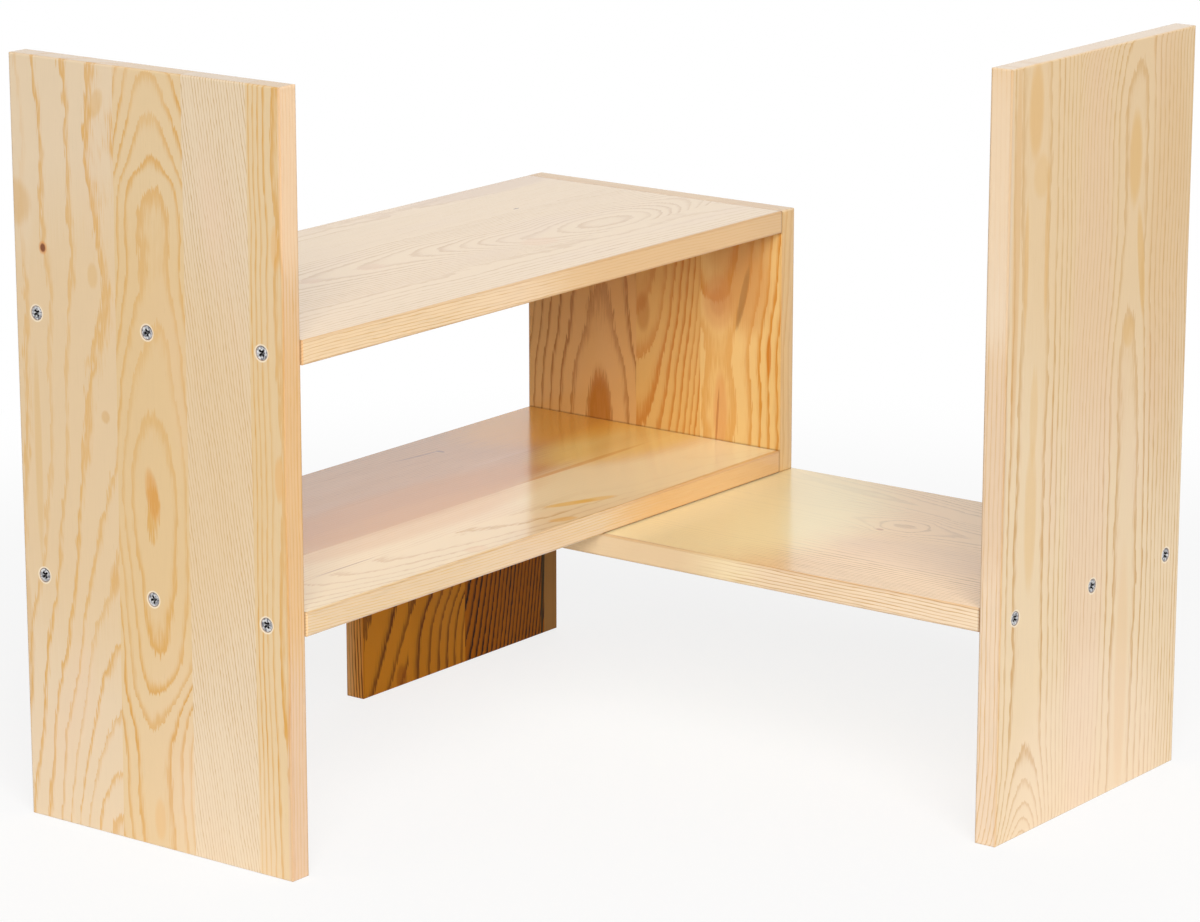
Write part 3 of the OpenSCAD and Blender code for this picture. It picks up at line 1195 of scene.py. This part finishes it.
    def build(self, name: str, face: Vector, drive: Vector, turn: float,
              material: bpy.types.Material) -> bpy.types.Object:
        """Makes the screw's mesh where it is driven: quads between rows, fans over both ends.

        Args:
            name: the piece's name.
            face: middle of the head's face, in metres.
            drive: the way it is driven.
            turn: how far the recess is turned, in degrees.
            material: its metal.

        Returns:
            The piece, at the origin with its place in its mesh.
        """
        points = self.grid()
        rows, spokes = points.shape[:2]
        turned = np.array(drive.to_track_quat("-Z", "Y").to_matrix())
        cos, sin = math.cos(math.radians(turn)), math.sin(math.radians(turn))
        twist = np.array([[cos, -sin, 0], [sin, cos, 0], [0, 0, 1]])
        flat = points.reshape(-1, 3) @ twist.T @ turned.T * MM + np.array(face)
        vertices = np.concatenate([flat[spokes:], flat[:1], flat[-spokes:].mean(0, keepdims=True)])
        here = np.arange(spokes)
        there = (here + 1) % spokes
        row = np.arange(rows - 2)[:, None] * spokes
        below = row + spokes
        quads = np.stack([row + here, below + here, below + there, row + there], axis=-1)
        last = (rows - 2) * spokes
        middle = np.full(spokes, last + spokes)
        crown = np.stack([middle, here, there], axis=1)
        point = np.stack([middle + 1, last + there, last + here], axis=1)
        faces = [*quads.reshape(-1, 4).tolist(), *crown.tolist(), *point.tolist()]
        return add_mesh(name, vertices.tolist(), faces, material)


@dataclass(frozen=True)
class ScrewRow:
    """The three screws of one joint, in nodes named after it.

    Attributes:
        joint: the joint's part of the node names.
        board: the board that the heads are sunk in.
        drive: the way the screws are driven: axis and sign.
        turns: how far each recess is turned, front, middle and back, in degrees.
    """

    joint: str
    board: str
    drive: tuple[Axis, int]
    turns: Triple

    places = ("front", "middle", "back")

    def nodes(self) -> list[str]:
        """Names of the row's CAD nodes."""
        return [f"screw_{self.joint}_{place}" for place in self.places]

    def way(self) -> Vector:
        """The direction in which the screws are driven."""
        direction = Vector((0.0, 0.0, 0.0))
        direction[self.drive[0].value] = float(self.drive[1])
        return direction

    def faces(self) -> list[Vector]:
        """Works out the middles of the heads' faces from the CAD solids' boxes.

        Returns:
            One point for each node, in metres.
        """
        middles = []
        for node in self.nodes():
            low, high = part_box(node)
            middle = (low + high) / 2
            axis, sign = self.drive
            middle[axis.value] = (low if sign > 0 else high)[axis.value]
            middles.append(middle)
        return middles


@dataclass(frozen=True)
class Unit:
    """One unit of the bookshelf: boards with their pines, and the screws that hold them.

    Attributes:
        body: the CAD body that its pieces ride on.
        boards: each board's node and finish.
        rows: the screw joints.
        screw: the screw used throughout.
    """

    body: str
    boards: dict[str, Pine]
    rows: tuple[ScrewRow, ...]
    screw: Screw = Screw()

    def dress_boards(self) -> None:
        """Gives every board its pine, with pale rings of bare wood and painted highlight round the
        screws sunk in it.
        """
        for node, pine in self.boards.items():
            heads = [face for row in self.rows if row.board == node for face in row.faces()]
            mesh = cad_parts[node].data
            mesh.materials.clear()
            mesh.materials.append(pine.dress(node, heads))
            LOG.info("%s: %d staves", node, len(pine.staves))

    def drive_screws(self, zinc: bpy.types.Material) -> None:
        """Puts a detailed screw in place of each CAD one.

        Args:
            zinc: the screws' material.
        """
        for row in self.rows:
            for node, face, turn in zip(row.nodes(), row.faces(), row.turns):
                piece = self.screw.build(f"{node}_turned", face, row.way(), turn, zinc)
                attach(piece, self.body)
                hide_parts(node)
            LOG.info("%s: three screws", row.joint)


UPPER_UNIT = Unit(
    body="upper_unit",
    boards={
        "upper_tall_panel": UPPER_TALL_PINE, "upper_low_shelf": UPPER_LOW_PINE,
        "upper_top_shelf": UPPER_TOP_PINE, "end_panel": END_PINE,
    },
    rows=(
        ScrewRow("upper_panel_top", "upper_tall_panel", (Axis.Y, 1), (48, 20, 38)),
        ScrewRow("upper_panel_low", "upper_tall_panel", (Axis.Y, 1), (45, 12, 44)),
        ScrewRow("end_panel_top", "end_panel", (Axis.Y, -1), (5, 62, 33)),
        ScrewRow("end_panel_low", "end_panel", (Axis.Y, -1), (71, 26, 50)),
    ),
)

LOWER_UNIT = Unit(
    body="lower_unit",
    boards={"lower_tall_panel": LOWER_TALL_PINE, "lower_shelf": LOWER_SHELF_PINE, "leg": LEG_PINE},
    rows=(
        ScrewRow("lower_panel", "lower_tall_panel", (Axis.X, -1), (42, 15, 30)),
        ScrewRow("leg", "leg", (Axis.X, 1), (18, 55, 81)),
    ),
)


@dataclass(frozen=True)
class Lamp:
    """A square soft light.

    Attributes:
        name: its name.
        azimuth: where it hangs round the object, in degrees from the front towards the right.
        height: how far above the horizon it hangs, in degrees.
        side: its width, in metres.
        watts: its power.
        distance: how far from the origin it hangs, in metres.
    """

    name: str
    azimuth: float
    height: float
    side: float
    watts: float
    distance: float = 4.0

    def place(self) -> Vector:
        """Where it hangs, from its two angles."""
        round_by, up_by = math.radians(self.azimuth), math.radians(self.height)
        flat = math.cos(up_by)
        way = Vector((math.sin(round_by) * flat, -math.cos(round_by) * flat, math.sin(up_by)))
        return way * self.distance


@dataclass(frozen=True)
class Studio:
    """The camera, the lights and the white surroundings.

    The camera's place and angles come from the corners of the boards in the photograph.

    The floor is paler near the object, as paper is, and the camera sees it nearly white.

    Attributes:
        camera_place, tilt_down, swing, lens: the camera's place, angles and focal length.
        target: what the lamps are turned to.
        sky: how strongly the white surround lights the object.
        floor_half, paper_half: half the width of the floor and of its pale middle, in metres.
        paper_grey, floor_grey, paper_fade: both greys, and where one turns into the other.
        glow, glow_rise: how white the camera sees the floor, and where it sees it all white, mm.
        lamps: the lights.
    """

    camera_place: Triple = (1.2848, -1.7108, 0.7152)
    tilt_down: float = 14.32
    swing: float = 37.06
    lens: float = 133.87
    target: Triple = (0.0, 0.0, 0.15)
    sky: float = 0.25
    floor_half: float = 6.0
    paper_half: float = 0.42
    paper_grey: float = 0.92
    floor_grey: float = 0.4
    paper_fade: tuple[float, float] = (1.7, 0.9)
    glow: float = 0.8
    glow_rise: tuple[float, float] = (260.0, 900.0)
    lamps: tuple[Lamp, ...] = (
        Lamp("key_softbox", 44.0, 33.5, 2.6, 168.0),
        Lamp("left_softbox", -25.0, 38.0, 2.0, 6.0),
        Lamp("back_softbox", 215.0, 25.0, 2.4, 28.0),
    )

    def build(self) -> None:
        """Sets up everything that isn't part of the bookshelf."""
        bpy.context.scene.view_settings.view_transform = "Standard"
        self.place_camera()
        for lamp in self.lamps:
            self.hang(lamp)
        self.light_sky()
        self.lay_floor()
        LOG.info("studio: %d lamps", len(self.lamps))

    def place_camera(self) -> None:
        """Puts the camera where the photograph was taken."""
        data = bpy.data.cameras.new("camera")
        data.lens = self.lens
        data.sensor_width = 36.0
        data.clip_end = 50.0
        camera = add_object("camera", data)
        camera.location = self.camera_place
        camera.rotation_euler = (math.radians(90 - self.tilt_down), 0.0, math.radians(self.swing))
        bpy.context.scene.camera = camera

    def hang(self, lamp: Lamp) -> None:
        """Hangs a lamp, turned to the bookshelf; the lacquer mirrors the white room alone.

        Args:
            lamp: the lamp.
        """
        data = bpy.data.lights.new(lamp.name, "AREA")
        data.shape = "SQUARE"
        data.size = lamp.side
        data.energy = lamp.watts
        light = add_object(lamp.name, data)
        light.location = lamp.place()
        way = Vector(self.target) - lamp.place()
        light.rotation_euler = way.to_track_quat("-Z", "Y").to_euler()
        light.visible_glossy = False

    def light_sky(self) -> None:
        """A white surround that lights the object more softly than it looks."""
        world = bpy.data.worlds.new("white_room")
        bpy.context.scene.world = world
        recipe = Recipe(world)
        soft, seen = (
            recipe.node("ShaderNodeBackground", {"Color": WHITE, "Strength": strength})
            for strength in (self.sky, 1.0)
        )
        recipe.end("ShaderNodeOutputWorld", recipe.mix(recipe.shown(), soft, seen))

    def lay_floor(self) -> None:
        """A pale floor that the camera sees nearly white, with the object's soft shadow on it."""
        recipe = Recipe(bpy.data.materials.new("pale_floor"))
        x, y, _ = recipe.place()
        away = (x * x + y * y).root()
        paper = (away / (self.paper_half / MM)).rise(*self.paper_fade)
        grey = paper * (self.paper_grey - self.floor_grey) + self.floor_grey
        matt = recipe.node("ShaderNodeBsdfDiffuse", {"Color": grey})
        glow = recipe.node("ShaderNodeEmission", {"Color": WHITE})
        share = (away.rise(*self.glow_rise) * (1.0 - self.glow) + self.glow) * recipe.shown()
        material = recipe.end("ShaderNodeOutputMaterial", recipe.mix(share, matt, glow))
        half = self.floor_half
        corners = [(-half, -half, 0.0), (half, -half, 0.0), (half, half, 0.0), (-half, half, 0.0)]
        floor = add_mesh("floor", corners, [(0, 1, 2, 3)], material)


def main() -> None:
    """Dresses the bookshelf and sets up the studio."""
    logging.basicConfig(level=logging.INFO, format="%(name)s %(message)s")
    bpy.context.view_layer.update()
    zinc = Zinc().dress()
    for unit in (LOWER_UNIT, UPPER_UNIT):
        unit.dress_boards()
        unit.drive_screws(zinc)
    Studio().build()


if __name__ == "__main__":
    main()
